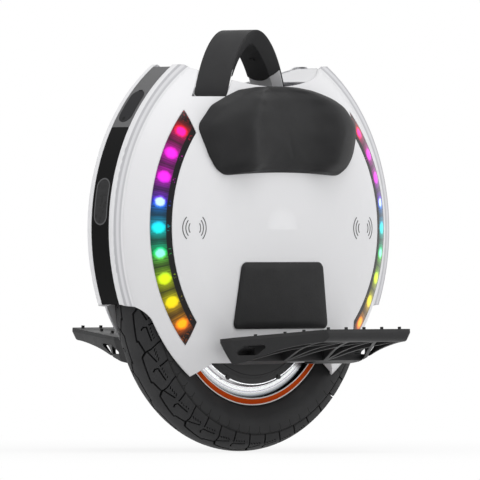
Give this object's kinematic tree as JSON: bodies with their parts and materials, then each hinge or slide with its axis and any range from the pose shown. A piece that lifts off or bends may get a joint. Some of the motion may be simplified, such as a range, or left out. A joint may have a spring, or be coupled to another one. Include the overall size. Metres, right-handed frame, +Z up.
{
  "type": "electric unicycle",
  "caption": "Electric unicycle: one hub-motor wheel in a round white shell with light windows, leg pads, folding pedals and a trolley handle.",
  "frame": {"origin": "on the ground under the middle of the wheel", "axes": "+X forward, +Y to the rider's left along the axle, +Z up"},
  "size_m": [0.542, 0.4994, 0.5834],
  "materials": {
    "tyre_rubber": "satin moulded rubber",
    "tube_rubber": "smooth butyl",
    "polished_rim": "polished",
    "ring_paint": "burnt orange vinyl ring",
    "motor_paint": "satin powder coat",
    "lamination_steel": "stacked sheet",
    "magnet_nickel": "nickel plate",
    "winding_copper": "enamelled wire",
    "plain_steel": "zinc plate",
    "hanger_alloy": "black anodised",
    "pedal_alloy": "black powder coat on a casting",
    "stud_steel": "black oxide",
    "liner_plastic": "moulded grey",
    "frame_plastic": "moulded black",
    "shell_white": "moulded white, satin gloss",
    "spine_black": "gloss black",
    "panel_grey": "fine texture",
    "lamp_smoke": "smoked clear",
    "board_green": "solder mask",
    "window_smoke": "smoked clear",
    "led_lamp": "clear lamp",
    "pad_cover": "grained synthetic leather over foam",
    "battery_wrap": "shrink wrap",
    "sink_alloy": "as extruded",
    "fan_plastic": "moulded black",
    "cover_rubber": "soft moulded",
    "grip_plastic": "soft-touch",
    "core_grey": "satin grey",
    "mast_alloy": "satin anodised",
    "lead_sleeve": "cable jacket"
  },
  "bodies": {
    "chassis": {"axle": "plain_steel", "stator_core": "lamination_steel", "stator_windings": "winding_copper", "axle_nuts": "plain_steel", "pedal_hanger_left": "hanger_alloy", "pedal_hanger_right": "hanger_alloy", "hanger_bolts": "plain_steel", "pedal_pins": "plain_steel", "wheel_well": "liner_plastic", "front_frame": "frame_plastic", "rear_frame": "frame_plastic", "shell_left": "shell_white", "shell_right": "shell_white", "front_spine": "spine_black", "rear_spine": "spine_black", "front_top_panel": "panel_grey", "rear_top_panel": "panel_grey", "headlight_lens": "lamp_smoke", "tail_light_lens": "lamp_smoke", "lamp_boards": "board_green", "led_windows": "window_smoke", "led_boards": "board_green", "led_lamps": "led_lamp", "upper_pad_left": "pad_cover", "upper_pad_right": "pad_cover", "lower_pad_left": "pad_cover", "lower_pad_right": "pad_cover", "battery_packs": "battery_wrap", "control_board": "sink_alloy", "heat_sink": "sink_alloy", "fan_frame": "fan_plastic", "speakers": "fan_plastic", "charge_port": "frame_plastic", "top_plate": "shell_white", "shell_screws": "plain_steel", "mast_sleeves": "mast_alloy", "motor_lead": "lead_sleeve"},
    "wheel": {"tyre": "tyre_rubber", "inner_tube": "tube_rubber", "rim": "polished_rim", "rim_stripes": "ring_paint", "valve_stem": "tube_rubber", "motor_cover_left": "motor_paint", "motor_cover_right": "motor_paint", "motor_cover_screws": "plain_steel", "rotor_ring": "lamination_steel", "rotor_magnets": "magnet_nickel", "hub_bearings": "plain_steel"},
    "pedal_left": {"pedal_left": "pedal_alloy", "pedal_studs_left": "stud_steel"},
    "pedal_right": {"pedal_right": "pedal_alloy", "pedal_studs_right": "stud_steel"},
    "handle": {"handle_grip": "grip_plastic", "handle_core": "core_grey", "handle_yoke": "frame_plastic", "handle_masts": "mast_alloy"},
    "release_button": {"release_button": "grip_plastic"},
    "power_button": {"power_button": "frame_plastic"},
    "charge_cover": {"charge_cover": "cover_rubber"},
    "fan_rotor": {"fan_rotor": "fan_plastic"}
  },
  "joints": [
    {"name": "wheel_spin", "type": "hinge", "parent": "chassis", "child": "wheel", "pos_m": [0, 0, 0.223], "axis": [0, 1, 0], "continuous": true},
    {"name": "pedal_left_fold", "type": "hinge", "parent": "chassis", "child": "pedal_left", "pos_m": [0, 0.1055, 0.1385], "axis": [1, 0, 0], "range_deg": [0, 80]},
    {"name": "pedal_right_fold", "type": "hinge", "parent": "chassis", "child": "pedal_right", "pos_m": [0, -0.1055, 0.1385], "axis": [-1, 0, 0], "range_deg": [0, 80]},
    {"name": "handle_slide", "type": "slide", "parent": "chassis", "child": "handle", "axis": [0, 0, 1], "range_m": [0, 0.26]},
    {"name": "release_button_press", "type": "slide", "parent": "handle", "child": "release_button", "axis": [-0.879, 0, 0.4769], "range_m": [0, 0.0012], "stiffness_N_per_m": 400},
    {"name": "power_button_press", "type": "slide", "parent": "chassis", "child": "power_button", "axis": [0, 0, -1], "range_m": [0, 0.0015], "stiffness_N_per_m": 500},
    {"name": "charge_cover_open", "type": "hinge", "parent": "chassis", "child": "charge_cover", "pos_m": [0.1928, 0, 0.49787], "axis": [0, -1, 0], "range_deg": [0, 110]},
    {"name": "fan_spin", "type": "hinge", "parent": "chassis", "child": "fan_rotor", "pos_m": [-0.1613, 0, 0.42946], "axis": [-0.6157, 0, 0.788], "continuous": true}
  ]
}
